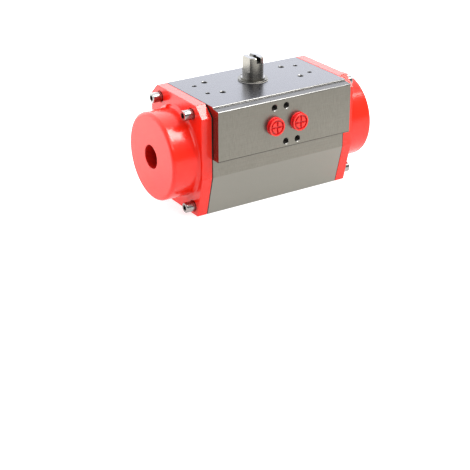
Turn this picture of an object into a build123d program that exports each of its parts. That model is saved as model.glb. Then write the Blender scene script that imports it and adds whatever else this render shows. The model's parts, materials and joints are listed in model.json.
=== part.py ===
"""Spring-return rack-and-pinion pneumatic actuator for quarter-turn valves.

Frame: origin on the shaft axis in the bottom mounting face, +X along the cylinder to the right end
cap, -Y out of the port face, +Z up along the shaft. Millimetres. The actuator is modelled closed:
pistons together, springs long, shaft slot across the cylinder.
"""

from build123d import *
import math
import os

# ---- driving dimensions: housing ----------------------------------------------------------------
BODY_LENGTH = 134.6          # along X
BODY_HEIGHT = 99.5           # bottom mounting face to top face
BORE_RADIUS = 36.0           # cylinder bore
BORE_Z = 49.3                # height of the bore axis
SIDE_Y = 42.5                # half width
BOTTOM_Y = 32.8              # half width of the bottom face
SLOPE_TOP_Z = 36.8           # where the lower flanks start to lean in
CHAMFER_Y = 10.0             # upper rear corner of the housing, and both corners of a cap plate
CHAMFER_Z = 9.5
PAD_Y = 51.5                 # port pad face
PAD_LOW_Z = 53.1
PAD_TOP_Z = 97.4             # front edge of the ledge over the pad
LEDGE_Y = 43.4               # front edge of the top face
LEDGE_DROP = 1.3
HOUSING_RADII = [0.8, 2.0, 0.8, 0.8, 1.0, 0.2, 1.2, 0.8, 0.2, 2.0, 0.8]  # corners, from rear foot

# ---- driving dimensions: threads, ports and air passages ----------------------------------------
M4_RADIUS = 2.0
M5_RADIUS = 2.5
M6_RADIUS = 3.0
M8_RADIUS = 4.0
COUNTERSINK = 0.5            # how far a hole's mouth is wider than its thread
SMALL_COUNTERSINK = 0.15
F07_CIRCLE = 70.0            # bottom flange: M8 and M6 circles at 45 degrees
F07_DEPTH = 13.0
F05_CIRCLE = 50.0
F05_DEPTH = 10.0
ACCESSORY_DX = 80.0          # top face: M5 pattern for a switch box
ACCESSORY_DY = 30.0
ACCESSORY_DEPTH = 9.0
INDICATOR_DX = 105.0         # top face: M4 pattern for an indicator
INDICATOR_DY = 22.0
INDICATOR_DEPTH = 8.0
PORT_X = 12.0                # two G1/4 ports, side by side
PORT_Z = 74.8
PORT_RADIUS = 6.58
PORT_DEPTH = 12.0
VALVE_PAD_DX = 12.0          # pilot valve pattern: 24 x 32, half sizes
VALVE_PAD_DZ = 16.0
VALVE_PAD_DEPTH = 9.0
CHANNEL_Y = 37.5             # air channel to the spring side
CHANNEL_Z = 85.4
CHANNEL_RADIUS = 2.0

# ---- driving dimensions: end caps, gaskets and screws -------------------------------------------
PLATE_HALF_WIDTH = 42.2
PLATE_THICKNESS = 9.46
PLATE_CORNER = 0.8           # rounding of the plate's outline
PLATE_EDGE = 0.5             # chamfer round the plate's front
GASKET_THICKNESS = 0.8
GASKET_INSET = 0.4
CUP_RADIUS = 38.4            # spring cup of an end cap
CUP_HEIGHT = 25.1
CUP_FILLET = 3.0
CUP_FLOOR = 5.0
CAVITY_RADIUS = 33.5
RECESS_RADIUS = 10.4         # blind recess in the cup's face
RECESS_DEPTH = 21.0
RECESS_EDGE = 0.3
BOSS_WALL = 4.0              # wall round the recess inside the cup
BOSS_END_WALL = 3.0
AIR_SLOT_WIDTH = 4.0
AIR_SLOT_DEPTH = 3.0
SCREW_Y = 26.3               # cap screws, from the bore axis
SCREW_Z = 41.3
SCREW_RADIUS = M5_RADIUS
SCREW_CLEARANCE = 0.25
SCREW_HEAD_RADIUS = 4.5
SCREW_HEAD_PROUD = 8.5
SCREW_HEAD_EDGE = 0.5
SCREW_HEX = 4.6              # across flats
SCREW_HEX_DEPTH = 4.5
SPOT_FACE_MARGIN = 0.8
SPOT_FACE_DEPTH = 0.8
SCREW_GRIP = 12.0            # thread length in the housing
SCREW_HOLE_SPARE = 2.0

# ---- driving dimensions: shaft, its bearings and seals ------------------------------------------
MODULE = 1.5                 # rack and pinion
TEETH = 18
PRESSURE_ANGLE = math.radians(20)
BACKLASH = 0.3
GEAR_LOW_Z = 35.3
GEAR_HIGH_Z = 63.3
FLANK_STEPS = 4

STUB_RADIUS = 9.2            # drive stub above the top face
STUB_HEIGHT = 21.0
STUB_CHAMFER = 0.9
STUB_FLAT = 14.0             # across flats
STUB_FLAT_HEIGHT = 12.6
SLOT_WIDTH = 4.0
SLOT_DEPTH = 4.7
STUB_HOLE_DEPTH = 12.0       # below the slot's floor
UPPER_JOURNAL = 11.0
LOWER_JOURNAL = 15.0
LOWER_JOURNAL_TOP_Z = 26.0
NECK_LENGTH = 2.0            # turned down above the teeth
COLLAR_RADIUS = 13.0
COLLAR_TOP_Z = 84.8
SHAFT_LOW_Z = 3.2
DRIVE_SQUARE = 14.0          # female double square in the shaft's foot
DRIVE_DEPTH = 17.0

SPIGOT_RADIUS = 17.5         # centring recess in the bottom face
SPIGOT_DEPTH = 3.0
LOWER_BUSH_RADIUS = 17.0
LOWER_BUSH_TOP_Z = 9.0
LOWER_LAND_RADIUS = 15.1
UPPER_BUSH_RADIUS = 12.5
UPPER_BUSH_Z = (91.0, 98.2)
UPPER_LAND_RADIUS = 11.1
SPOT_RADIUS = 14.5           # flat inside the bore for the inner thrust washer
SPOT_Z = 87.0
COUNTERBORE_RADIUS = 13.15   # in the top face, for the outer thrust washer

SEAL_CORD = 1.05             # round cord of the shaft's seals
SEAL_GROOVE_WIDTH = 2.4
UPPER_GROOVE_Z = 87.9
LOWER_GROOVE_Z = 9.6
INNER_WASHER_RADIUS = 13.6
OUTER_WASHER_PROUD = 0.2     # plastic washer above the top face
STEEL_WASHER_RADIUS = 13.1
STEEL_WASHER_PROUD = 1.35
STEEL_WASHER_EDGE = 0.25
CLIP_THICKNESS = 1.1         # open circlip
CLIP_BORE = 8.5
CLIP_RADIUS = 10.6
CLIP_PLAY = 0.05
CLIP_LUG_RADIUS = 1.7
CLIP_LUG_HOLE = 0.8
CLIP_LUG_REACH = 0.9         # lug centres outside the circlip's rim
CLIP_LUG_ANGLE = 17          # degrees each side of the gap
CLIP_HALF_GAP = 1.4

# ---- driving dimensions: pistons and springs ----------------------------------------------------
PISTON_RADIUS = 35.8
PISTON_INNER_X = 30.5
PISTON_OUTER_X = 42.5
ARM_END_X = 29.5
ARM_RADIUS = 34.5
ARM_HALF_HEIGHT = 13.0
RACK_START_X = -11.0         # on the arm, measured away from the arm's own piston
PISTON_SEAL_CORD = 1.4
PISTON_SEAL_X = 39.0
PISTON_GROOVE_WIDTH = 3.4
PISTON_GROOVE_RADIUS = 33.1
BAND_X = (32.2, 36.0)        # guide band
BAND_INNER_RADIUS = 34.65
PAD_HALF_LENGTH = 21.0       # guide pad on the back of the rack arm
PAD_HALF_HEIGHT = 9.0
SEAT_THICKNESS = 3.0         # spring seat
SEAT_RADIUS = 32.0
SEAT_HOLE_RADIUS = 12.0
SEAT_LIP_HEIGHT = 4.0
SEAT_LIP_RADII = (26.0, 22.4)
OUTER_SPRING = (29.0, 1.0)   # mean radius, half thickness of the sleeve
INNER_SPRING = (20.0, 0.8)

# ---- driving dimensions: port plugs -------------------------------------------------------------
PLUG_LAYERS = ((8.0, 0.0, 1.7), (7.0, 1.7, 2.9), (7.75, 2.9, 4.7))  # radius, from, to
PLUG_RIM_RADIUS = 7.5        # layers wider than this are rounded
PLUG_RIM_EDGE = 0.35
PLUG_PANEL_RADIUS = 6.4
PLUG_ISLAND_RADIUS = 4.95
PLUG_PANEL_DEPTH = 1.2
PLUG_CROSS = 1.7
PLUG_SHANK_LENGTH = 8.0
PLUG_SHANK_GAP = 0.08
PLUG_SHANK_WALL = 1.52

# ---- fits ---------------------------------------------------------------------------------------
FIT = 0.02                   # gap between pieces that are fixed together
RUNNING_FIT = 0.05           # gap between pieces that turn or slide
OVERCUT = 1.0                # how far a cutter reaches past the surface it cuts

# ---- derived dimensions -------------------------------------------------------------------------
BODY_END = BODY_LENGTH / 2
PLATE_BACK = BODY_END + GASKET_THICKNESS
PLATE_FRONT = PLATE_BACK + PLATE_THICKNESS
CUP_END = PLATE_FRONT + CUP_HEIGHT
CAVITY_END = CUP_END - CUP_FLOOR
STUB_TOP = BODY_HEIGHT + STUB_HEIGHT
COLLAR_LOW_Z = GEAR_HIGH_Z + NECK_LENGTH
PITCH_RADIUS = MODULE * TEETH / 2
TIP_RADIUS = PITCH_RADIUS + MODULE
DEDENDUM = 1.25 * MODULE
ROOT_RADIUS = PITCH_RADIUS - DEDENDUM
TOOTH_PITCH = math.pi * MODULE
UPPER_GROOVE_RADIUS = UPPER_LAND_RADIUS - RUNNING_FIT - 2 * SEAL_CORD - FIT
LOWER_GROOVE_RADIUS = LOWER_LAND_RADIUS - RUNNING_FIT - 2 * SEAL_CORD - FIT
INNER_WASHER_Z = (COLLAR_TOP_Z + RUNNING_FIT, SPOT_Z - FIT)
OUTER_WASHER_Z = (UPPER_BUSH_Z[1] + FIT, BODY_HEIGHT + OUTER_WASHER_PROUD)
STEEL_WASHER_Z = (OUTER_WASHER_Z[1] + RUNNING_FIT, BODY_HEIGHT + STEEL_WASHER_PROUD)
CLIP_Z = STEEL_WASHER_Z[1] + RUNNING_FIT
RUNNING_BORE_RADIUS = BORE_RADIUS - RUNNING_FIT

UP = (0, 0, 1)
DOWN = (0, 0, -1)
RIGHT = (1, 0, 0)
LEFT = (-1, 0, 0)
FRONT = (0, -1, 0)
BACK = (0, 1, 0)


# ---- helpers ------------------------------------------------------------------------------------
def rod(radius, length, start, direction):
    """Cylinder that leaves start along direction."""
    ends = (Align.CENTER, Align.CENTER, Align.MIN)
    return Plane(origin=start, z_dir=direction) * Cylinder(radius, length, align=ends)


def ring(outer, inner, length, start, direction):
    """Flat or long ring that leaves start along direction."""
    return rod(outer, length, start, direction) - rod(inner, length, start, direction)


def block(low, high):
    """Box between two corners."""
    size = [b - a for a, b in zip(low, high)]
    centre = [(a + b) / 2 for a, b in zip(low, high)]
    return Pos(*centre) * Box(*size)


def countersunk_hole(radius, depth, mouth, inward, widening=COUNTERSINK):
    """Cutter for a blind hole with a 45 degree countersink at its mouth."""
    ends = (Align.CENTER, Align.CENTER, Align.MIN)
    cone = Plane(origin=mouth, z_dir=inward) * Cone(radius + widening, radius, widening, align=ends)
    return rod(radius, depth, mouth, inward) + cone


def hexagon(across_flats, depth, start, direction):
    """Hexagonal prism that leaves start along direction."""
    outline = Plane(origin=start, z_dir=direction) * RegularPolygon(across_flats / math.sqrt(3), 6)
    return extrude(outline, depth, dir=direction)


def section_along_x(corners, radii, low_x, high_x):
    """Prism along X of a (y, z) outline whose corners are rounded."""
    outline = FilletPolyline(*corners, radius=radii, close=True)
    face = make_face(Plane.YZ.offset(low_x) * outline)
    return extrude(face, high_x - low_x, dir=RIGHT)


def both_ends(right_piece):
    """The right-hand piece and its mirror image at the left end."""
    return mirror(right_piece, about=Plane.YZ), right_piece


def half_turn(left_piece):
    """The left-hand piece and the same piece turned half round the shaft."""
    return left_piece, Rot(0, 0, 180) * left_piece


def write(node, solid):
    """Label a node and write it as its own STEP file."""
    solid.label = node
    export_step(solid, f"parts/{node}.step")


# ---- housing ------------------------------------------------------------------------------------
def housing():
    top = BODY_HEIGHT
    corners = [
        (BOTTOM_Y, 0),
        (SIDE_Y, SLOPE_TOP_Z),
        (SIDE_Y, top - CHAMFER_Z),
        (SIDE_Y - CHAMFER_Y, top),
        (-LEDGE_Y, top),
        (-LEDGE_Y, top - LEDGE_DROP),
        (-PAD_Y, PAD_TOP_Z),
        (-PAD_Y, PAD_LOW_Z),
        (-SIDE_Y, PAD_LOW_Z),
        (-SIDE_Y, SLOPE_TOP_Z),
        (-BOTTOM_Y, 0),
    ]
    body = section_along_x(corners, HOUSING_RADII, -BODY_END, BODY_END)
    body -= rod(BORE_RADIUS, BODY_LENGTH, (-BODY_END, 0, BORE_Z), RIGHT)
    body -= shaft_passages()
    body -= bottom_mounting_holes()
    body -= top_mounting_holes()
    body -= port_face_holes()
    body -= air_channel()
    for side in (-1, 1):
        for y, z in cap_screw_places():
            mouth = (side * BODY_END, y, z)
            body -= rod(SCREW_RADIUS, SCREW_GRIP + SCREW_HOLE_SPARE, mouth, (-side, 0, 0))
    return body


def shaft_passages():
    """Stepped holes for the shaft, its bushes, its seals and its thrust washers."""
    top = BODY_HEIGHT
    bush_low, bush_high = UPPER_BUSH_Z
    cut = rod(SPIGOT_RADIUS, SPIGOT_DEPTH, (0, 0, 0), UP)
    cut += rod(LOWER_BUSH_RADIUS, LOWER_BUSH_TOP_Z - SPIGOT_DEPTH, (0, 0, SPIGOT_DEPTH), UP)
    cut += rod(LOWER_LAND_RADIUS, BORE_Z - LOWER_BUSH_TOP_Z, (0, 0, LOWER_BUSH_TOP_Z), UP)
    cut += rod(SPOT_RADIUS, SPOT_Z - BORE_Z, (0, 0, BORE_Z), UP)
    cut += rod(UPPER_LAND_RADIUS, bush_low - SPOT_Z, (0, 0, SPOT_Z), UP)
    cut += rod(UPPER_BUSH_RADIUS, bush_high - bush_low, (0, 0, bush_low), UP)
    cut += rod(COUNTERBORE_RADIUS, top - bush_high, (0, 0, bush_high), UP)
    return cut


def bottom_mounting_holes():
    """Two circles of four tapped holes at 45 degrees: M8 on 70 and M6 on 50."""
    cut = Part()
    circles = ((F07_CIRCLE, M8_RADIUS, F07_DEPTH), (F05_CIRCLE, M6_RADIUS, F05_DEPTH))
    for circle, radius, depth in circles:
        for place in PolarLocations(circle / 2, 4, start_angle=45):
            x, y, _ = place.position
            cut += countersunk_hole(radius, depth, (x, y, 0), UP)
    return cut


def top_mounting_holes():
    """M5 pattern for accessories, and the M4 pattern outside it."""
    cut = Part()
    for place in GridLocations(ACCESSORY_DX, ACCESSORY_DY, 2, 2):
        x, y, _ = place.position
        cut += countersunk_hole(M5_RADIUS, ACCESSORY_DEPTH, (x, y, BODY_HEIGHT), DOWN)
    for place in GridLocations(INDICATOR_DX, INDICATOR_DY, 2, 2):
        x, y, _ = place.position
        mouth = (x, y, BODY_HEIGHT)
        cut += countersunk_hole(M4_RADIUS, INDICATOR_DEPTH, mouth, DOWN, SMALL_COUNTERSINK)
    return cut


def port_face_holes():
    """Two air ports and the four tapped holes of the pilot valve pattern."""
    cut = Part()
    for side in (-1, 1):
        port = (side * PORT_X, -PAD_Y, PORT_Z)
        cut += countersunk_hole(PORT_RADIUS, PORT_DEPTH, port, BACK)
        for x in (0, side * VALVE_PAD_DX):
            mouth = (x, -PAD_Y, PORT_Z - side * VALVE_PAD_DZ)
            cut += countersunk_hole(M5_RADIUS, VALVE_PAD_DEPTH, mouth, BACK)
    return cut


def air_channel():
    """Left port to the space between the pistons, right port to both spring cups."""
    port_floor = -PAD_Y + PORT_DEPTH
    cut = rod(M5_RADIUS, -BORE_RADIUS / 2 - port_floor, (-PORT_X, port_floor, PORT_Z), BACK)
    cut += rod(M5_RADIUS, -CHANNEL_Y - port_floor, (PORT_X, port_floor, PORT_Z), BACK)
    cut += rod(CHANNEL_RADIUS, CHANNEL_Z - PORT_Z, (PORT_X, -CHANNEL_Y, PORT_Z), UP)
    cut += rod(CHANNEL_RADIUS, BODY_LENGTH, (-BODY_END, -CHANNEL_Y, CHANNEL_Z), RIGHT)
    return cut


# ---- end caps, gaskets and screws ---------------------------------------------------------------
def cap_screw_places():
    """The (y, z) places of the four screws of a cap."""
    return [(sy * SCREW_Y, BORE_Z + sz * SCREW_Z) for sy in (-1, 1) for sz in (-1, 1)]


def plate_outline(inset=0.0):
    """The (y, z) corners of a cap plate, moved inwards by inset."""
    side = PLATE_HALF_WIDTH - inset
    low = BOTTOM_Y - inset
    top = BODY_HEIGHT - inset
    half = [(low, inset), (side, SLOPE_TOP_Z), (side, BODY_HEIGHT - CHAMFER_Z), (side - CHAMFER_Y, top)]
    return half + [(-y, z) for y, z in reversed(half)]


def air_slot(width, low_x, high_x):
    """Slot in a cap's mounting face from the air channel to the cavity."""
    reach = math.hypot(CHANNEL_Y, CHANNEL_Z - BORE_Z)
    lean = math.degrees(math.atan2(CHANNEL_Z - BORE_Z, -CHANNEL_Y))
    start = CAVITY_RADIUS - OVERCUT
    bar = block((low_x, start, -width / 2), (high_x, reach, width / 2))
    end = rod(width / 2, high_x - low_x, (low_x, reach, 0), RIGHT)
    return Pos(0, 0, BORE_Z) * Rot(lean, 0, 0) * (bar + end)


def right_end_cap():
    plate = section_along_x(plate_outline(), [PLATE_CORNER] * 8, PLATE_BACK, PLATE_FRONT)
    plate = chamfer(plate.edges().group_by(Axis.X)[-1], PLATE_EDGE)
    hub = CUP_RADIUS + CUP_FILLET + OVERCUT
    profile = [(PLATE_BACK, 0), (PLATE_BACK, hub), (PLATE_FRONT, hub), (PLATE_FRONT, CUP_RADIUS),
               (CUP_END, CUP_RADIUS), (CUP_END, 0)]
    outline = FilletPolyline(*profile, radius=[0, 0, 0, CUP_FILLET, CUP_FILLET, 0], close=True)
    cap = plate + Pos(0, 0, BORE_Z) * revolve(make_face(outline), Axis.X)
    cavity = rod(CAVITY_RADIUS, CAVITY_END - PLATE_BACK, (PLATE_BACK, 0, BORE_Z), RIGHT)
    boss_start = CUP_END - RECESS_DEPTH - BOSS_END_WALL
    boss = rod(RECESS_RADIUS + BOSS_WALL, CAVITY_END - boss_start, (boss_start, 0, BORE_Z), RIGHT)
    cap -= cavity - boss
    cap -= countersunk_hole(RECESS_RADIUS, RECESS_DEPTH, (CUP_END, 0, BORE_Z), LEFT, RECESS_EDGE)
    cap -= air_slot(AIR_SLOT_WIDTH, PLATE_BACK, PLATE_BACK + AIR_SLOT_DEPTH)
    for y, z in cap_screw_places():
        cap -= rod(SCREW_RADIUS + SCREW_CLEARANCE, PLATE_THICKNESS, (PLATE_BACK, y, z), RIGHT)
        cap -= rod(SCREW_HEAD_RADIUS + SPOT_FACE_MARGIN, SPOT_FACE_DEPTH, (PLATE_FRONT, y, z), LEFT)
    return cap


def right_cap_gasket():
    gasket = section_along_x(plate_outline(GASKET_INSET), [PLATE_CORNER] * 8, BODY_END, PLATE_BACK)
    gasket -= rod(BORE_RADIUS, GASKET_THICKNESS, (BODY_END, 0, BORE_Z), RIGHT)
    gasket -= air_slot(AIR_SLOT_WIDTH, BODY_END, PLATE_BACK)
    for y, z in cap_screw_places():
        gasket -= rod(SCREW_RADIUS + SCREW_CLEARANCE, GASKET_THICKNESS, (BODY_END, y, z), RIGHT)
    return gasket


def cap_screw(y, z):
    """Socket-head cap screw at the right end."""
    head_end = PLATE_FRONT + SCREW_HEAD_PROUD
    head_start = PLATE_FRONT - SPOT_FACE_DEPTH
    head = rod(SCREW_HEAD_RADIUS, head_end - head_start, (head_start, y, z), RIGHT)
    head = chamfer(head.edges().group_by(Axis.X)[-1], SCREW_HEAD_EDGE)
    head -= hexagon(SCREW_HEX, SCREW_HEX_DEPTH, (head_end, y, z), LEFT)
    shank_end = BODY_END - SCREW_GRIP
    return head + rod(SCREW_RADIUS - FIT, head_start - shank_end, (shank_end, y, z), RIGHT)


def right_cap_screws():
    return Compound(children=[cap_screw(y, z) for y, z in cap_screw_places()])


# ---- drive shaft --------------------------------------------------------------------------------
def tooth_half_angle(radius):
    """Half the angle that an involute tooth takes at a radius."""
    base = PITCH_RADIUS * math.cos(PRESSURE_ANGLE)
    at_radius = math.acos(min(1.0, base / radius))
    involute = math.tan(at_radius) - at_radius
    at_pitch = math.tan(PRESSURE_ANGLE) - PRESSURE_ANGLE
    return math.pi / (2 * TEETH) + at_pitch - involute


def pinion_outline():
    """Closed outline of the pinion, with a tooth centred on the Y axis."""
    base = PITCH_RADIUS * math.cos(PRESSURE_ANGLE)
    radii = [base + (TIP_RADIUS - base) * step / FLANK_STEPS for step in range(FLANK_STEPS + 1)]
    flank = [(ROOT_RADIUS, tooth_half_angle(base))] + [(r, tooth_half_angle(r)) for r in radii]
    points = []
    for tooth in range(TEETH):
        middle = math.pi / 2 + 2 * math.pi * tooth / TEETH
        rising = [(r, middle - half) for r, half in flank]
        falling = [(r, middle + half) for r, half in reversed(flank)]
        points += [(r * math.cos(angle), r * math.sin(angle)) for r, angle in rising + falling]
    return points


def stub_cuts():
    """Everything cut from the stub's top: two flats, the slot and the tapped hole."""
    reach = STUB_RADIUS + OVERCUT
    flat_z = STUB_TOP - STUB_FLAT_HEIGHT
    slot_z = STUB_TOP - SLOT_DEPTH
    over = STUB_TOP + OVERCUT
    cut = block((STUB_FLAT / 2, -reach, flat_z), (reach, reach, over))
    cut += block((-reach, -reach, flat_z), (-STUB_FLAT / 2, reach, over))
    cut += block((-SLOT_WIDTH / 2, -reach, slot_z), (SLOT_WIDTH / 2, reach, over))
    return cut + rod(M6_RADIUS, STUB_HOLE_DEPTH + SLOT_DEPTH, (0, 0, STUB_TOP), DOWN)


def drive_socket():
    """Double square: two square holes turned 45 degrees to each other."""
    ends = (Align.CENTER, Align.CENTER, Align.MIN)
    square = Box(DRIVE_SQUARE, DRIVE_SQUARE, DRIVE_DEPTH, align=ends)
    return Pos(0, 0, SHAFT_LOW_Z) * (square + Rot(0, 0, 45) * square)


def pinion_shaft():
    steps = (
        (LOWER_JOURNAL, SHAFT_LOW_Z, LOWER_JOURNAL_TOP_Z),
        (ROOT_RADIUS, LOWER_JOURNAL_TOP_Z, COLLAR_LOW_Z),
        (COLLAR_RADIUS, COLLAR_LOW_Z, COLLAR_TOP_Z),
        (UPPER_JOURNAL, COLLAR_TOP_Z, BODY_HEIGHT),
        (STUB_RADIUS, BODY_HEIGHT, STUB_TOP),
    )
    teeth = make_face(Pos(0, 0, GEAR_LOW_Z) * Polyline(*pinion_outline(), close=True))
    shaft = extrude(teeth, GEAR_HIGH_Z - GEAR_LOW_Z, dir=UP)
    for radius, low, high in steps:
        shaft += rod(radius, high - low, (0, 0, low), UP)
    shaft = chamfer(shaft.edges().group_by(Axis.Z)[-1], STUB_CHAMFER)
    shaft -= stub_cuts()
    shaft -= drive_socket()
    over_upper = UPPER_JOURNAL + OVERCUT
    over_lower = LOWER_JOURNAL + OVERCUT
    over_stub = STUB_RADIUS + OVERCUT
    clip_groove = (0, 0, CLIP_Z - CLIP_PLAY)
    shaft -= ring(over_upper, UPPER_GROOVE_RADIUS, SEAL_GROOVE_WIDTH, (0, 0, UPPER_GROOVE_Z), UP)
    shaft -= ring(over_lower, LOWER_GROOVE_RADIUS, SEAL_GROOVE_WIDTH, (0, 0, LOWER_GROOVE_Z), UP)
    shaft -= ring(over_stub, CLIP_BORE - FIT, CLIP_THICKNESS + 2 * CLIP_PLAY, clip_groove, UP)
    return shaft


def shaft_oring(land_radius, groove_z):
    centre = land_radius - RUNNING_FIT - SEAL_CORD
    return Pos(0, 0, groove_z + SEAL_GROOVE_WIDTH / 2) * Torus(centre, SEAL_CORD)


def upper_shaft_bush():
    low, high = UPPER_BUSH_Z
    return ring(UPPER_BUSH_RADIUS - FIT, UPPER_JOURNAL + RUNNING_FIT, high - low, (0, 0, low), UP)


def lower_shaft_bush():
    low = SHAFT_LOW_Z
    height = LOWER_BUSH_TOP_Z - low
    return ring(LOWER_BUSH_RADIUS - FIT, LOWER_JOURNAL + RUNNING_FIT, height, (0, 0, low), UP)


def flat_washer(outer, inner, span):
    low, high = span
    return ring(outer, inner, high - low, (0, 0, low), UP)


def steel_thrust_washer():
    washer = flat_washer(STEEL_WASHER_RADIUS, STUB_RADIUS + 2 * RUNNING_FIT, STEEL_WASHER_Z)
    rim = washer.edges().filter_by(GeomType.CIRCLE).sort_by(SortBy.RADIUS)[-2:]
    return chamfer(rim, STEEL_WASHER_EDGE)


def retaining_ring():
    """Open circlip with two drilled lugs at its gap, which faces the back."""
    clip = ring(CLIP_RADIUS, CLIP_BORE, CLIP_THICKNESS, (0, 0, CLIP_Z), UP)
    reach = CLIP_RADIUS + CLIP_LUG_REACH
    for turn in (-CLIP_LUG_ANGLE, CLIP_LUG_ANGLE):
        angle = math.radians(90 + turn)
        lug = (reach * math.cos(angle), reach * math.sin(angle), CLIP_Z)
        clip += rod(CLIP_LUG_RADIUS, CLIP_THICKNESS, lug, UP)
        clip -= rod(CLIP_LUG_HOLE, CLIP_THICKNESS, lug, UP)
    gap_end = reach + CLIP_LUG_RADIUS + OVERCUT
    gap = block((-CLIP_HALF_GAP, 0, CLIP_Z), (CLIP_HALF_GAP, gap_end, CLIP_Z + CLIP_THICKNESS))
    return clip - gap - rod(CLIP_BORE, CLIP_THICKNESS, (0, 0, CLIP_Z), UP)


# ---- pistons ------------------------------------------------------------------------------------
def rack_outline():
    """The (x, y) outline of the left piston's arm: teeth towards the shaft, back far outside."""
    tip_y = PITCH_RADIUS - MODULE
    root_y = PITCH_RADIUS + DEDENDUM
    half_at_pitch = TOOTH_PITCH / 4 - BACKLASH / 2
    half_at_tip = half_at_pitch - MODULE * math.tan(PRESSURE_ANGLE)
    half_at_root = half_at_pitch + DEDENDUM * math.tan(PRESSURE_ANGLE)
    first = math.ceil(RACK_START_X / TOOTH_PITCH)
    last = math.floor(ARM_END_X / TOOTH_PITCH - 0.5)
    points = [(-PISTON_INNER_X, root_y)]
    for tooth in range(first, last + 1):
        x = (tooth + 0.5) * TOOTH_PITCH
        points += [(x - half_at_root, root_y), (x - half_at_tip, tip_y)]
        points += [(x + half_at_tip, tip_y), (x + half_at_root, root_y)]
    return points + [(ARM_END_X, root_y), (ARM_END_X, BORE_RADIUS), (-PISTON_INNER_X, BORE_RADIUS)]


def piston_groove(floor_radius, middle_x, width):
    """Cutter for a groove round the left piston."""
    start = (-middle_x - width / 2, 0, BORE_Z)
    return ring(PISTON_RADIUS + OVERCUT, floor_radius, width, start, RIGHT)


def left_piston():
    thickness = PISTON_OUTER_X - PISTON_INNER_X
    disc = rod(PISTON_RADIUS, thickness, (-PISTON_OUTER_X, 0, BORE_Z), RIGHT)
    band_low, band_high = BAND_X
    band_middle = (band_low + band_high) / 2
    disc -= piston_groove(PISTON_GROOVE_RADIUS, PISTON_SEAL_X, PISTON_GROOVE_WIDTH)
    disc -= piston_groove(BAND_INNER_RADIUS - FIT, band_middle, band_high - band_low + 2 * FIT)
    face = make_face(Polyline(*rack_outline(), close=True))
    arm = extrude(Pos(0, 0, BORE_Z - ARM_HALF_HEIGHT) * face, 2 * ARM_HALF_HEIGHT, dir=UP)
    length = PISTON_INNER_X + ARM_END_X
    arm = arm & rod(ARM_RADIUS, length, (-PISTON_INNER_X, 0, BORE_Z), RIGHT)
    return disc + arm


def left_piston_oring():
    centre = RUNNING_BORE_RADIUS - PISTON_SEAL_CORD
    return Pos(-PISTON_SEAL_X, 0, BORE_Z) * Rot(0, 90, 0) * Torus(centre, PISTON_SEAL_CORD)


def left_guide_band():
    low, high = BAND_X
    return ring(RUNNING_BORE_RADIUS, BAND_INNER_RADIUS, high - low, (-high, 0, BORE_Z), RIGHT)


def left_guide_pad():
    """Curved slipper between the back of the rack arm and the bore."""
    start = (-PAD_HALF_LENGTH, 0, BORE_Z)
    shell = ring(RUNNING_BORE_RADIUS, ARM_RADIUS + FIT, 2 * PAD_HALF_LENGTH, start, RIGHT)
    low = (-PAD_HALF_LENGTH, 0, BORE_Z - PAD_HALF_HEIGHT)
    high = (PAD_HALF_LENGTH, BORE_RADIUS, BORE_Z + PAD_HALF_HEIGHT)
    return shell & block(low, high)


# ---- springs ------------------------------------------------------------------------------------
def left_spring_seat():
    """Plastic plate on the piston that centres both springs."""
    face = (-PISTON_OUTER_X - FIT, 0, BORE_Z)
    lip_outer, lip_inner = SEAT_LIP_RADII
    seat = ring(SEAT_RADIUS, SEAT_HOLE_RADIUS, SEAT_THICKNESS, face, LEFT)
    return seat + ring(lip_outer, lip_inner, SEAT_THICKNESS + SEAT_LIP_HEIGHT, face, LEFT)


def left_spring(mean_radius, half_thickness):
    """Sleeve that takes the place of a coil spring, with about the coil's volume of steel."""
    start_x = -PISTON_OUTER_X - SEAT_THICKNESS - 2 * FIT
    length = CAVITY_END - FIT + start_x
    outer = mean_radius + half_thickness
    inner = mean_radius - half_thickness
    return ring(outer, inner, length, (start_x, 0, BORE_Z), LEFT)


# ---- port plugs ---------------------------------------------------------------------------------
def port_plug(x):
    """Push-in plug: shank, two rims and a face with four quarter-round islands."""
    proud = PLUG_LAYERS[-1][2]
    shank_radius = PORT_RADIUS - PLUG_SHANK_GAP
    shank_bore = shank_radius - PLUG_SHANK_WALL
    plug = ring(shank_radius, shank_bore, PLUG_SHANK_LENGTH, (x, -PAD_Y, PORT_Z), BACK)
    for radius, low, high in PLUG_LAYERS:
        layer = rod(radius, high - low, (x, -PAD_Y - low, PORT_Z), FRONT)
        if radius > PLUG_RIM_RADIUS:
            layer = fillet(layer.edges().filter_by(GeomType.CIRCLE), PLUG_RIM_EDGE)
        plug += layer
    panel = (x, -PAD_Y - proud, PORT_Z)
    island = rod(PLUG_ISLAND_RADIUS, PLUG_PANEL_DEPTH, panel, BACK)
    half = PLUG_CROSS / 2
    reach = PLUG_PANEL_RADIUS
    near = -PAD_Y - proud
    far = near + PLUG_PANEL_DEPTH
    island -= block((x - half, near, PORT_Z - reach), (x + half, far, PORT_Z + reach))
    island -= block((x - reach, near, PORT_Z - half), (x + reach, far, PORT_Z + half))
    return plug - (rod(PLUG_PANEL_RADIUS, PLUG_PANEL_DEPTH, panel, BACK) - island)


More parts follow.
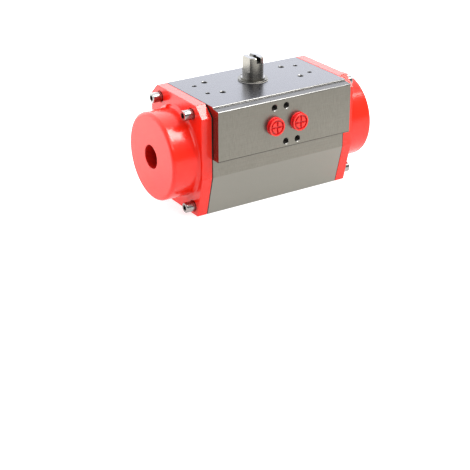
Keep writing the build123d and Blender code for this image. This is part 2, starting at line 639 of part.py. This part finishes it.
# ---- assembly -----------------------------------------------------------------------------------
def main():
    os.makedirs("parts", exist_ok=True)
    write("housing", housing())
    for name, make in (("end_cap", right_end_cap), ("cap_gasket", right_cap_gasket),
                       ("cap_screws", right_cap_screws)):
        left, right = both_ends(make())
        write(f"left_{name}", left)
        write(f"right_{name}", right)

    write("pinion_shaft", pinion_shaft())
    write("upper_shaft_bush", upper_shaft_bush())
    write("lower_shaft_bush", lower_shaft_bush())
    write("upper_shaft_oring", shaft_oring(UPPER_LAND_RADIUS, UPPER_GROOVE_Z))
    write("lower_shaft_oring", shaft_oring(LOWER_LAND_RADIUS, LOWER_GROOVE_Z))
    journal = UPPER_JOURNAL + RUNNING_FIT
    write("inner_thrust_washer", flat_washer(INNER_WASHER_RADIUS, journal, INNER_WASHER_Z))
    write("outer_thrust_washer", flat_washer(COUNTERBORE_RADIUS - FIT, journal, OUTER_WASHER_Z))
    write("steel_thrust_washer", steel_thrust_washer())
    write("retaining_ring", retaining_ring())

    left_pieces = {
        "piston": left_piston(),
        "piston_oring": left_piston_oring(),
        "guide_band": left_guide_band(),
        "guide_pad": left_guide_pad(),
        "spring_seat": left_spring_seat(),
        "outer_spring": left_spring(*OUTER_SPRING),
        "inner_spring": left_spring(*INNER_SPRING),
    }
    for name, piece in left_pieces.items():
        left, right = half_turn(piece)
        write(f"left_{name}", left)
        write(f"right_{name}", right)

    write("left_port_plug", port_plug(-PORT_X))
    write("right_port_plug", port_plug(PORT_X))


main()
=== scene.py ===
"""Looks of the spring-return pneumatic actuator: materials, threads, springs, light and camera.

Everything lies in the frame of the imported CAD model: origin on the shaft axis in the bottom face, +X
along the cylinder, -Y out of the port face, +Z up. Pieces, camera and lights are placed in metres;
sizes taken from the CAD model and depths of relief are named in millimetres.
"""

import json
import math

import bmesh
import bpy
from mathutils import Matrix, Vector


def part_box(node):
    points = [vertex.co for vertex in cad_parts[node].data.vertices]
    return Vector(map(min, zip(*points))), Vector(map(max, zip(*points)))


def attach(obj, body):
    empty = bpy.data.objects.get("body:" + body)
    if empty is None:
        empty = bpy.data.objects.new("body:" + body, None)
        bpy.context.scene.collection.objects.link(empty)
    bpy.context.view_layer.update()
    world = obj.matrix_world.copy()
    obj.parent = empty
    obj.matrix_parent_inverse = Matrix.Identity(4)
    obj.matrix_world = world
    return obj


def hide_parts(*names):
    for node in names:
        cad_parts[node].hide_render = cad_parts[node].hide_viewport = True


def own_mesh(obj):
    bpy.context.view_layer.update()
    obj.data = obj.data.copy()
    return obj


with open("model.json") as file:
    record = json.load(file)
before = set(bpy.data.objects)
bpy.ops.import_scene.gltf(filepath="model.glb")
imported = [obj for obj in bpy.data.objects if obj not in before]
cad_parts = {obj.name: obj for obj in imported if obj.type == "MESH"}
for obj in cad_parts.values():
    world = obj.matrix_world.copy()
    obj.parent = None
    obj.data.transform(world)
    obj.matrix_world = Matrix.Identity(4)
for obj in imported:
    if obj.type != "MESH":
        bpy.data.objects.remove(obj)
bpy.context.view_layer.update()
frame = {"nodes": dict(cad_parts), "record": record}

NODES = frame["nodes"]
MM = 0.001

# ---- places and sizes of the CAD model that the looks follow, in millimetres ---------------------
BORE_Z = 49.3                    # height of the cylinder's axis
RECESS_RADIUS = 10.4             # of the recess in each end cap
PORT_X = 12
PORT_Z = 74.8
PORTS = ((-PORT_X, PORT_Z), (PORT_X, PORT_Z))        # (x, z) on the port pad
PAD_HOLE_RISE = 16               # from the ports up or down to the tapped holes round them
PAD_HOLES = ((-PORT_X, PORT_Z + PAD_HOLE_RISE), (0, PORT_Z + PAD_HOLE_RISE),
             (0, PORT_Z - PAD_HOLE_RISE), (PORT_X, PORT_Z - PAD_HOLE_RISE))
TOP_HOLES = (40, 15)             # half spacings of the larger and smaller holes in the top face
SMALL_TOP_HOLES = (52.5, 11)
TOP_HOLES_LOW_Z = 80             # just past the floors of the holes in the top face and the pad
PAD_HOLES_BACK_Y = -40
PAD_LOW_Z = 53.1                 # lower edge of the port pad
PAD_FRONT_Y = -50                # just behind the face of the port pad
LEDGE_BACK_Y = -43.8             # back of the ledge above the pad
PLUG_FACE_Y = -56.0              # just behind the face of a plug
STUB_FOOT_Z = 100
STUB_TOP_Z = 120.5               # slot in the top of the drive stub
SLOT_WIDTH = 4.0
SLOT_DEPTH = 4.7
WALL = 0.05                      # by which a hole's mask is wider than the hole, to take in its wall

# radius, pitch and depth of each kind of thread
M4 = (2.0, 0.7, 8)
M5 = (2.5, 0.8, 9)
M6 = (3.0, 1.0, 10)
M8 = (4.0, 1.25, 13)
PORT_THREAD = (6.58, 1.337, 12)
STUB_THREAD = (3.0, 1.0, 12)
BOTTOM_CIRCLES = ((70, M8), (50, M6))                # diameter and thread

# mean radius, wire diameter and number of open turns of each spring
SPRINGS = (("outer", 29.0, 4.5, 4.6), ("inner", 20.0, 3.5, 6.0))

# ---- camera -------------------------------------------------------------------------------------
CAMERA_AZIMUTH = math.radians(32.471)      # seen from the left of the port face
CAMERA_ELEVATION = math.radians(25.428)
CAMERA_ROLL = math.radians(-0.155)
CAMERA_DISTANCE = 1.08449                  # to the foot of the drive stub, along the view
STUB_RIGHT_OF_CENTRE = 0.01544             # where the foot of the stub lies in the view
STUB_ABOVE_CENTRE = 0.13517
CAMERA_LENS = 95.85
SENSOR_WIDTH = 36.0


def make_camera():
    """Long lens from the upper left, at the reference view's angle and framing."""
    away = Vector((
        -math.sin(CAMERA_AZIMUTH) * math.cos(CAMERA_ELEVATION),
        -math.cos(CAMERA_AZIMUTH) * math.cos(CAMERA_ELEVATION),
        math.sin(CAMERA_ELEVATION),
    ))
    right = (-away).cross(Vector((0, 0, 1))).normalized()
    up = right.cross(-away).normalized()
    rolled_right = right * math.cos(CAMERA_ROLL) + up * math.sin(CAMERA_ROLL)
    rolled_up = up * math.cos(CAMERA_ROLL) - right * math.sin(CAMERA_ROLL)
    stub_foot = Vector((0, 0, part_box("housing")[1].z))
    data = bpy.data.cameras.new("camera")
    data.lens = CAMERA_LENS
    data.sensor_width = SENSOR_WIDTH
    data.clip_start = 0.01
    data.clip_end = 50
    camera = bpy.data.objects.new("camera", data)
    bpy.context.scene.collection.objects.link(camera)
    turn = Matrix((rolled_right, rolled_up, away)).transposed()
    place = stub_foot + away * CAMERA_DISTANCE
    place -= rolled_right * STUB_RIGHT_OF_CENTRE + rolled_up * STUB_ABOVE_CENTRE
    camera.matrix_world = Matrix.Translation(place) @ turn.to_4x4()
    bpy.context.scene.camera = camera


# ---- node helpers -------------------------------------------------------------------------------
NOISE_LOW = 0.3                  # a noise texture's values lie mostly between these two
NOISE_HIGH = 0.7


class Shader:
    """Small helper that wires the nodes of one material."""

    def __init__(self, name):
        self.material = bpy.data.materials.new(name)
        self.material.use_nodes = True
        self.tree = self.material.node_tree
        self.surface = self.tree.nodes["Principled BSDF"]

    def node(self, kind, **settings):
        made = self.tree.nodes.new(kind)
        for key, value in settings.items():
            setattr(made, key, value)
        return made

    def link(self, output, socket):
        self.tree.links.new(output, socket)

    def set(self, **values):
        """Constant values on the shader's own sockets; _ in a name stands for a space."""
        for key, value in values.items():
            self.surface.inputs[key.replace("_", " ")].default_value = value

    def place(self, scale=(1, 1, 1)):
        """Position on the object, scaled along each axis."""
        mapping = self.node("ShaderNodeMapping")
        mapping.inputs["Scale"].default_value = scale
        self.link(self.node("ShaderNodeTexCoord").outputs["Object"], mapping.inputs["Vector"])
        return mapping.outputs["Vector"]

    def noise(self, scale, detail=3.0, roughness=0.5, stretch=(1, 1, 1)):
        texture = self.node("ShaderNodeTexNoise")
        texture.inputs["Scale"].default_value = scale
        texture.inputs["Detail"].default_value = detail
        texture.inputs["Roughness"].default_value = roughness
        self.link(self.place(stretch), texture.inputs["Vector"])
        return texture.outputs["Fac"]

    def ramp(self, value, low, high, to_low, to_high):
        """value in low..high mapped to to_low..to_high."""
        ranged = self.node("ShaderNodeMapRange")
        for key, number in (("From Min", low), ("From Max", high), ("To Min", to_low), ("To Max", to_high)):
            ranged.inputs[key].default_value = number
        self.link(value, ranged.inputs["Value"])
        return ranged.outputs["Result"]

    def math(self, operation, first, second):
        made = self.node("ShaderNodeMath", operation=operation)
        for socket, value in zip(made.inputs, (first, second)):
            if isinstance(value, (int, float)):
                socket.default_value = value
            else:
                self.link(value, socket)
        return made.outputs["Value"]

    def mix(self, factor, first, second):
        """Colour between two colours."""
        made = self.node("ShaderNodeMix", data_type="RGBA")
        self.link(factor, made.inputs["Factor"])
        for socket, value in ((made.inputs[6], first), (made.inputs[7], second)):
            if isinstance(value, tuple):
                socket.default_value = (*value, 1)
            else:
                self.link(value, socket)
        return made.outputs[2]

    def spread(self, noise, low, high):
        """A noise's usual range mapped to low..high."""
        return self.ramp(noise, NOISE_LOW, NOISE_HIGH, low, high)

    def mottle(self, noise, dark, light):
        """Colour that wanders between two colours with a noise."""
        return self.mix(self.spread(noise, 0, 1), dark, light)

    def split(self, coordinates):
        """X, Y and Z of the object's "Object" or "Normal" coordinates."""
        parts = self.node("ShaderNodeSeparateXYZ")
        self.link(self.node("ShaderNodeTexCoord").outputs[coordinates], parts.inputs["Vector"])
        return [parts.outputs[axis] for axis in "XYZ"]

    def facing(self, axis):
        """1 where the surface faces along an axis of the object, either way, and 0 elsewhere."""
        along = self.split("Normal")["XYZ".index(axis)]
        return self.ramp(self.math("ABSOLUTE", along, 0), 0.9, 0.98, 0, 1)

    def upper_edges(self):
        """1 on the rounded edges that look up and outwards, 0 on flat tops and on walls."""
        upwards = self.split("Normal")[2]
        from_wall = self.ramp(upwards, 0.15, 0.35, 0, 1)
        return self.math("MULTIPLY", from_wall, self.ramp(upwards, 0.93, 0.98, 1, 0))

    def downward(self, start, full):
        """0 on walls and tops, 1 where the surface's normal points down as far as full."""
        return self.ramp(self.split("Normal")[2], start, full, 0, 1)

    def near_axis(self, first, second, centre, radius):
        """1 inside a circle round a hole's axis, in the plane of two coordinates."""
        away = []
        for output, middle in zip((first, second), centre):
            offset = self.math("SUBTRACT", output, middle * MM)
            away.append(self.math("MULTIPLY", offset, offset))
        square = self.math("ADD", *away)
        return self.math("LESS_THAN", square, (radius * MM) ** 2)

    def in_tapped_holes(self):
        """1 inside the tapped holes of the top face and of the port pad: no light gets there."""
        x, y, z = self.split("Object")
        side_x = self.math("ABSOLUTE", x, 0)
        side_y = self.math("ABSOLUTE", y, 0)
        upper = self.math("GREATER_THAN", z, TOP_HOLES_LOW_Z * MM)
        front = self.math("LESS_THAN", y, PAD_HOLES_BACK_Y * MM)
        top_holes = self.math("MAXIMUM", self.near_axis(side_x, side_y, TOP_HOLES, M5[0] + WALL),
                              self.near_axis(side_x, side_y, SMALL_TOP_HOLES, M4[0] + WALL))
        found = self.math("MULTIPLY", upper, top_holes)
        for centre in PAD_HOLES:
            pad_hole = self.math("MULTIPLY", front, self.near_axis(x, z, centre, M5[0] + WALL))
            found = self.math("MAXIMUM", found, pad_hole)
        return found

    def in_recesses(self):
        """1 on the walls of the round recesses in the end caps, which are painted a darker red: painted
        shade, as little light gets in.
        """
        y, z = self.split("Object")[1:]
        return self.near_axis(y, z, (0, BORE_Z), RECESS_RADIUS + 2 * WALL)

    def in_stub_slot(self):
        """1 on the walls and the floor of the slot in the stub and of its tapped hole."""
        x, y, z = self.split("Object")
        between = self.math("LESS_THAN", self.math("ABSOLUTE", x, 0), (SLOT_WIDTH / 2 + WALL) * MM)
        above = self.math("GREATER_THAN", z, (STUB_TOP_Z - SLOT_DEPTH - WALL) * MM)
        slot = self.math("MULTIPLY", between, above)
        hole = self.near_axis(x, y, (0, 0), STUB_THREAD[0] + WALL)
        on_stub = self.math("GREATER_THAN", z, STUB_FOOT_Z * MM)
        return self.math("MAXIMUM", slot, self.math("MULTIPLY", hole, on_stub))

    def towards_front(self, start, full):
        """0 behind y = start, 1 in front of y = full, in millimetres."""
        return self.ramp(self.split("Object")[1], start * MM, full * MM, 0, 1)

    def shade_under_pad_edge(self):
        """Towards 1 on the lower front edge of the port pad, where a line of painted shadow is laid."""
        y, z = self.split("Object")[1:]
        on_pad = self.math("LESS_THAN", y, PAD_FRONT_Y * MM)
        low = self.ramp(z, (PAD_LOW_Z + 0.7) * MM, (PAD_LOW_Z + 1.2) * MM, 0.85, 0)
        return self.math("MULTIPLY", on_pad, low)

    def bump(self, height, depth, strength=1.0):
        """Surface relief of the given depth in millimetres."""
        made = self.node("ShaderNodeBump")
        made.inputs["Distance"].default_value = depth * MM
        made.inputs["Strength"].default_value = strength
        self.link(height, made.inputs["Height"])
        self.link(made.outputs["Normal"], self.surface.inputs["Normal"])

    def colour(self, output):
        self.link(output, self.surface.inputs["Base Color"])

    def rough(self, output):
        self.link(output, self.surface.inputs["Roughness"])


# ---- materials ----------------------------------------------------------------------------------
def anodised_aluminium():
    """Housing: milled cool top, warm extruded sides brushed along the cylinder, smooth ends."""
    s = Shader("anodised_aluminium")
    lines = s.noise(1.0, 4, 0.65, (60, 2600, 2600))
    cross = s.noise(1.0, 3, 0.6, (1500, 400, 220))
    cloud = s.noise(22.0, 3, 0.5)
    grain = s.math("ADD", s.math("MULTIPLY", lines, 0.5), s.math("MULTIPLY", cross, 0.5))
    end_face = s.facing("X")
    top_face = s.facing("Z")
    edges = s.upper_edges()

    sides = s.mottle(grain, (0.172, 0.162, 0.135), (0.260, 0.247, 0.214))
    sides = s.mix(s.ramp(cloud, 0.35, 0.65, 0, 0.35), sides, (0.206, 0.196, 0.167))
    # Faces that look downwards, such as the lower slope, are painted lighter: painted light.
    sides = s.mix(s.downward(-0.12, -0.22), sides, (0.245, 0.236, 0.208))
    # The ledge above the pad darkens towards the wall of the step: painted shade in the corner.
    step_wall_shade = s.towards_front(LEDGE_BACK_Y - 2.6, LEDGE_BACK_Y - 0.4)
    ledge = s.mix(step_wall_shade, (0.080, 0.078, 0.080), (0.040, 0.039, 0.038))
    # Faces that look up or down are painted darker than the sides: painted shade on the top.
    milled = s.mottle(lines, (0.089, 0.090, 0.105), (0.096, 0.097, 0.113))
    milled = s.mix(s.towards_front(LEDGE_BACK_Y, LEDGE_BACK_Y - 0.2), milled, ledge)
    outside = s.mix(top_face, sides, milled)
    # The upper rounded edges are painted lighter than the top: a painted highlight along them.
    outside = s.mix(edges, outside, (0.175, 0.174, 0.170))
    # The lower edge of the port pad is painted nearly black: a painted shadow line.
    outside = s.mix(s.shade_under_pad_edge(), outside, (0.05, 0.047, 0.04))
    # The walls of the tapped holes are painted nearly black: painted shade.
    s.colour(s.mix(s.in_tapped_holes(), outside, (0.010, 0.010, 0.009)))

    rough = s.spread(grain, 0.28, 0.44)
    for smoother, amount in ((top_face, 0.08), (edges, 0.05), (end_face, 0.24)):
        rough = s.math("SUBTRACT", rough, s.math("MULTIPLY", smoother, amount))
    s.rough(rough)
    sides_only = s.math("SUBTRACT", s.math("SUBTRACT", 1.0, end_face), top_face)
    s.bump(s.math("MULTIPLY", grain, sides_only), 0.02, 0.5)
    s.set(Metallic=1.0)
    return s.material


def red_enamel():
    """Powder-coated end caps: deep gloss with a faint orange peel."""
    s = Shader("red_enamel")
    peel = s.noise(420.0, 2, 0.5)
    cloud = s.noise(35.0, 3, 0.55)
    coat = s.mottle(cloud, (0.72, 0.013, 0.005), (0.78, 0.019, 0.007))
    # The walls of the recesses are painted a darker red: painted shade.
    s.colour(s.mix(s.in_recesses(), coat, (0.42, 0.007, 0.005)))
    s.rough(s.spread(cloud, 0.18, 0.23))
    s.bump(peel, 0.03, 0.3)
    s.set(IOR=1.45)
    return s.material


def red_plastic():
    """Moulded plugs: satin face, with the grooves and the sides painted a deeper red: painted shade."""
    s = Shader("red_plastic")
    cloud = s.noise(150.0, 2, 0.5)
    face = s.math("LESS_THAN", s.split("Object")[1], PLUG_FACE_Y * MM)
    skin = s.mottle(cloud, (0.62, 0.014, 0.007), (0.68, 0.022, 0.011))
    # Grooves and sides are painted a deeper red than the face: painted shade.
    s.colour(s.mix(face, (0.56, 0.003, 0.005), skin))
    s.rough(s.spread(cloud, 0.32, 0.42))
    s.bump(s.noise(900.0, 2, 0.5), 0.03, 0.3)
    return s.material


def stainless_steel():
    """Cap screws: bright, with fine turning lines round each axis."""
    s = Shader("stainless_steel")
    lines = s.noise(1.0, 3, 0.6, (4000, 700, 700))
    s.colour(s.mottle(lines, (0.29, 0.285, 0.275), (0.37, 0.365, 0.352)))
    s.rough(s.spread(lines, 0.18, 0.28))
    s.bump(lines, 0.01, 0.4)
    s.set(Metallic=1.0)
    return s.material


def plated_steel():
    """Shaft and retaining ring: turned and plated, with rings of tool marks along Z."""
    s = Shader("plated_steel")
    rings = s.noise(1.0, 4, 0.65, (90, 90, 5200))
    cloud = s.noise(160.0, 3, 0.55)
    shade = s.mottle(rings, (0.29, 0.277, 0.24), (0.345, 0.33, 0.29))
    shade = s.mix(s.spread(cloud, 0, 0.4), shade, (0.315, 0.302, 0.265))
    # Flat faces that look up or down are painted darker than the turned sides: painted shade.
    shade = s.mix(s.facing("Z"), shade, (0.17, 0.17, 0.18))
    # The slot and the tapped hole in the stub are painted darker: painted shade.
    s.colour(s.mix(s.in_stub_slot(), shade, (0.13, 0.128, 0.12)))
    s.rough(s.spread(rings, 0.22, 0.3))
    s.bump(rings, 0.01, 0.4)
    s.set(Metallic=1.0)
    return s.material


def oiled_steel():
    """Thrust washer: dark, oiled, with a fine turned finish."""
    s = Shader("oiled_steel")
    rings = s.noise(1.0, 4, 0.65, (90, 90, 5200))
    s.colour(s.mottle(rings, (0.075, 0.073, 0.066), (0.105, 0.102, 0.094)))
    s.rough(s.spread(rings, 0.26, 0.34))
    s.bump(rings, 0.01, 0.4)
    s.set(Metallic=1.0)
    return s.material


def shaded_thread_metal():
    """Freshly tapped thread, painted nearly black: painted shade inside the holes."""
    s = Shader("shaded_thread_metal")
    film = s.noise(900.0, 2, 0.5)
    s.colour(s.mottle(film, (0.012, 0.011, 0.010), (0.022, 0.021, 0.019)))
    s.rough(s.spread(film, 0.3, 0.42))
    s.set(Metallic=1.0)
    return s.material


def cast_aluminium():
    """Pistons: pale, with the grain of the mould."""
    s = Shader("cast_aluminium")
    cast = s.noise(700.0, 4, 0.6)
    s.colour(s.mottle(cast, (0.46, 0.46, 0.45), (0.56, 0.56, 0.55)))
    s.rough(s.spread(cast, 0.35, 0.5))
    s.bump(cast, 0.06, 0.5)
    s.set(Metallic=1.0)
    return s.material


def spring_steel():
    """Coils: dark shot-peened wire."""
    s = Shader("spring_steel")
    peen = s.noise(1500.0, 2, 0.5)
    s.colour(s.mottle(peen, (0.05, 0.05, 0.055), (0.1, 0.1, 0.105)))
    s.rough(s.spread(peen, 0.35, 0.5))
    s.bump(peen, 0.04, 0.5)
    s.set(Metallic=0.7)
    return s.material


def seal_rubber():
    """Gaskets and O-rings: matt black."""
    s = Shader("seal_rubber")
    skin = s.noise(1200.0, 3, 0.6)
    s.colour(s.mottle(skin, (0.012, 0.012, 0.012), (0.03, 0.029, 0.028)))
    s.rough(s.spread(skin, 0.45, 0.6))
    s.bump(skin, 0.03, 0.4)
    return s.material


def acetal():
    """Bushes, guide bands, guide pads, spring seats and plastic washers: off-white."""
    s = Shader("acetal")
    cloud = s.noise(300.0, 3, 0.5)
    s.colour(s.mottle(cloud, (0.74, 0.72, 0.65), (0.82, 0.80, 0.74)))
    s.rough(s.spread(cloud, 0.3, 0.4))
    s.bump(cloud, 0.03, 0.3)
    return s.material


def paint_nodes():
    """Every CAD node gets the procedural material of its slot; the steel washer gets its own."""
    makers = (anodised_aluminium, cast_aluminium, red_enamel, red_plastic, stainless_steel, plated_steel,
              spring_steel, seal_rubber, acetal)
    library = {make.__name__: make() for make in makers}
    for subpart in frame["record"]["subparts"]:
        node = NODES[subpart["node"]]
        node.data.materials.clear()
        node.data.materials.append(library[subpart["material_slot"]])
    washer = NODES["steel_thrust_washer"].data.materials
    washer.clear()
    washer.append(oiled_steel())
    return library


# ---- pieces -------------------------------------------------------------------------------------
THREAD_STEPS = 32                # round one turn
RIDGE_HEIGHT = 0.54              # height of a thread's ridge, as a share of its pitch
RIDGE_TIP = 0.08                 # half widths of the ridge at its tip and foot, as shares of the pitch
RIDGE_FOOT = 0.46
RIDGE_PROFILE = ((0.0, -RIDGE_FOOT), (1.0, -RIDGE_TIP), (1.0, RIDGE_TIP), (0.0, RIDGE_FOOT))
LEAST_RIDGE = 0.02               # share of the full height that is left at a thread's two ends
COIL_STEPS = 40                  # round one turn
WIRE_SIDES = 12
CLOSED_TURNS = 1.0               # at each end of a spring, wire touching wire
OPENING_RATE = 4                 # a coil opens to its full pitch in a quarter of a turn


def mesh_piece(name, vertices, faces, material, smooth=True):
    """A mesh object from points and faces, with outward normals."""
    mesh = bpy.data.meshes.new(name)
    mesh.from_pydata(vertices, [], faces)
    cleaned = bmesh.new()
    cleaned.from_mesh(mesh)
    bmesh.ops.recalc_face_normals(cleaned, faces=cleaned.faces)
    cleaned.to_mesh(mesh)
    cleaned.free()
    mesh.materials.append(material)
    for face in mesh.polygons:
        face.use_smooth = smooth
    piece = bpy.data.objects.new(name, mesh)
    bpy.context.scene.collection.objects.link(piece)
    return piece


def sweep_rings(rings):
    """Points and faces of a closed tube through rings of equal length, with both ends capped."""
    count = len(rings[0])
    vertices = [point for ring in rings for point in ring]
    faces = []
    for step in range(len(rings) - 1):
        for k in range(count):
            a = step * count + k
            b = step * count + (k + 1) % count
            faces.append((a, b, b + count, a + count))
    faces.append(tuple(range(count))[::-1])
    last = (len(rings) - 1) * count
    faces.append(tuple(last + k for k in range(count)))
    return vertices, faces


def thread(name, mouth, inward, size, body, material):
    """Helical ridge of an inside thread, from a hole's mouth to its depth."""
    radius, pitch, depth = (length * MM for length in size)
    inward = Vector(inward).normalized()
    side = inward.orthogonal().normalized()
    other = inward.cross(side)
    steps = int((depth / pitch - 1) * THREAD_STEPS)
    rings = []
    for step in range(steps + 1):
        angle = 2 * math.pi * step / THREAD_STEPS
        lead_in = min(1.0, step / THREAD_STEPS, (steps - step) / THREAD_STEPS)
        height = RIDGE_HEIGHT * pitch * max(lead_in, LEAST_RIDGE)
        out = side * math.cos(angle) + other * math.sin(angle)
        along = 0.5 * pitch + pitch * step / THREAD_STEPS
        rings.append([
            Vector(mouth) + out * (radius - rise * height) + inward * (along + shift * pitch)
            for rise, shift in RIDGE_PROFILE
        ])
    vertices, faces = sweep_rings(rings)
    piece = mesh_piece(name, vertices, faces, material, smooth=False)
    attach(piece, body)


def coil_spring(name, node, mean_radius, wire, turns, body, material):
    """Compression spring with closed ends, as long as its CAD sleeve."""
    low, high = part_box(node)
    centre = (low + high) / 2
    length = high.x - low.x
    steps = int((turns + 2 * CLOSED_TURNS) * COIL_STEPS)
    open_pitch = (length - wire * (1 + 2 * CLOSED_TURNS)) / turns
    rings = []
    travelled = low.x + wire / 2
    for step in range(steps + 1):
        angle = 2 * math.pi * step / COIL_STEPS
        turn = step / COIL_STEPS
        if step:
            opened = min(1.0, max(0.0, (turn - CLOSED_TURNS) * OPENING_RATE))
            opened = min(opened, max(0.0, (turns + CLOSED_TURNS - turn) * OPENING_RATE))
            travelled += (wire + (open_pitch - wire) * opened) / COIL_STEPS
        out = Vector((0, math.cos(angle), math.sin(angle)))
        middle = Vector((travelled, centre.y, centre.z)) + out * mean_radius
        rings.append([
            middle + (out * math.cos(a) + Vector((1, 0, 0)) * math.sin(a)) * wire / 2
            for a in (2 * math.pi * k / WIRE_SIDES for k in range(WIRE_SIDES))
        ])
    vertices, faces = sweep_rings(rings)
    start = min(v.x for v in vertices)
    stretch = length / (max(v.x for v in vertices) - start)
    vertices = [Vector((low.x + (v.x - start) * stretch, v.y, v.z)) for v in vertices]
    piece = mesh_piece(name, vertices, faces, material)
    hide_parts(node)
    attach(piece, body)
    return piece


def make_springs(library):
    """Two nested coils behind each piston."""
    for side, name in ((-1, "left"), (1, "right")):
        for layer, mean_radius, wire, turns in SPRINGS:
            node = f"{name}_{layer}_spring"
            spring = coil_spring(f"{node}_coil", node, mean_radius * MM, wire * MM, turns,
                                 "housing", library["spring_steel"])
            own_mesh(spring)


def make_threads():
    """Threads in the tapped holes; they are painted dark, painted shade like the walls that they stand on.
    """
    up, down, back = (0, 0, 1), (0, 0, -1), (0, 1, 0)
    low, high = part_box("housing")
    metal = shaded_thread_metal()
    holes = []
    for side_x in (-1, 1):
        for side_y in (-1, 1):
            for (x, y), size in ((TOP_HOLES, M5), (SMALL_TOP_HOLES, M4)):
                holes.append(((side_x * x, side_y * y, high.z / MM), down, size))
            for circle, size in BOTTOM_CIRCLES:
                spread = circle / 2 * math.sqrt(0.5)
                holes.append(((side_x * spread, side_y * spread, low.z / MM), up, size))
    for places, size in ((PAD_HOLES, M5), (PORTS, PORT_THREAD)):
        for x, z in places:
            holes.append(((x, low.y / MM, z), back, size))
    for number, (mouth, inward, size) in enumerate(holes, start=1):
        thread(f"thread_{number:02d}", Vector(mouth) * MM, inward, size,
               "housing", metal)
    slot_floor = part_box("pinion_shaft")[1].z - SLOT_DEPTH * MM
    thread("stub_thread", (0, 0, slot_floor), down, STUB_THREAD, "drive_shaft", metal)


# ---- floor, surroundings, lights ----------------------------------------------------------------
FLOOR_REACH = 6.0
FLOOR_GAP = 0.0002               # under the object
FLOOR_GLOW_FRONT = 0.1
FLOOR_GLOW_BACK = 2.0
GLOW_FRONT_Y = -0.3
GLOW_BACK_Y = 0.5
SKY_FRONT_Y = -0.4               # of the direction in which the surroundings are seen
SKY_BACK_Y = 0.6
SKY_GLOW_FRONT = 0.25
SKY_GLOW_BACK = 3.0
WARM_WHITE = (1.0, 0.98, 0.95)


def make_floor():
    """Pale floor that glows a little more behind the object."""
    mesh = bpy.data.meshes.new("floor")
    corners = [(-1, -1), (1, -1), (1, 1), (-1, 1)]
    mesh.from_pydata([(x * FLOOR_REACH, y * FLOOR_REACH, 0) for x, y in corners], [], [(0, 1, 2, 3)])
    floor = bpy.data.objects.new("floor", mesh)
    bpy.context.scene.collection.objects.link(floor)
    floor.location.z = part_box("housing")[0].z - FLOOR_GAP
    paper = Shader("floor_paper")
    paper.set(Base_Color=(0.40, 0.40, 0.40, 1), Roughness=0.9, Emission_Color=(1, 1, 1, 1))
    y = paper.split("Object")[1]
    glow = paper.ramp(y, GLOW_FRONT_Y, GLOW_BACK_Y, FLOOR_GLOW_FRONT, FLOOR_GLOW_BACK)
    paper.link(glow, paper.surface.inputs["Emission Strength"])
    mesh.materials.append(paper.material)


def make_surroundings():
    """Soft white surroundings, brightest behind the object."""
    world = bpy.data.worlds.new("studio")
    bpy.context.scene.world = world
    world.use_nodes = True
    tree = world.node_tree
    background = tree.nodes["Background"]
    coordinates = tree.nodes.new("ShaderNodeTexCoord")
    parts = tree.nodes.new("ShaderNodeSeparateXYZ")
    tree.links.new(coordinates.outputs["Generated"], parts.inputs["Vector"])
    lift = tree.nodes.new("ShaderNodeMapRange")
    for key, value in (("From Min", SKY_FRONT_Y), ("From Max", SKY_BACK_Y),
                       ("To Min", SKY_GLOW_FRONT), ("To Max", SKY_GLOW_BACK)):
        lift.inputs[key].default_value = value
    tree.links.new(parts.outputs["Y"], lift.inputs["Value"])
    tree.links.new(lift.outputs["Result"], background.inputs["Strength"])
    background.inputs["Color"].default_value = (0.94, 0.96, 1.0, 1)


def softbox(name, place, target, size, power):
    data = bpy.data.lights.new(name, "AREA")
    data.shape = "RECTANGLE"
    data.size, data.size_y = size
    data.energy = power
    data.color = WARM_WHITE
    light = bpy.data.objects.new(name, data)
    bpy.context.scene.collection.objects.link(light)
    aim = (Vector(target) - Vector(place)).to_track_quat("-Z", "Y")
    light.matrix_world = Matrix.Translation(place) @ aim.to_matrix().to_4x4()


def make_lights():
    """A large lamp in front, and a small one that draws the bright lines on the upper edges."""
    softbox("front_softbox", place=(-0.1, -0.9, 1.0), target=(0, 0, 0.05), size=(1.2, 0.9), power=11)
    softbox("edge_softbox", place=(0.25, -0.26, 0.58), target=(0, -0.05, 0.08), size=(0.28, 0.32), power=5.3)


make_camera()
library = paint_nodes()
make_springs(library)
make_threads()
make_floor()
make_surroundings()
make_lights()
scene = bpy.context.scene
scene.view_settings.view_transform = "Standard"
scene.view_settings.look = "None"
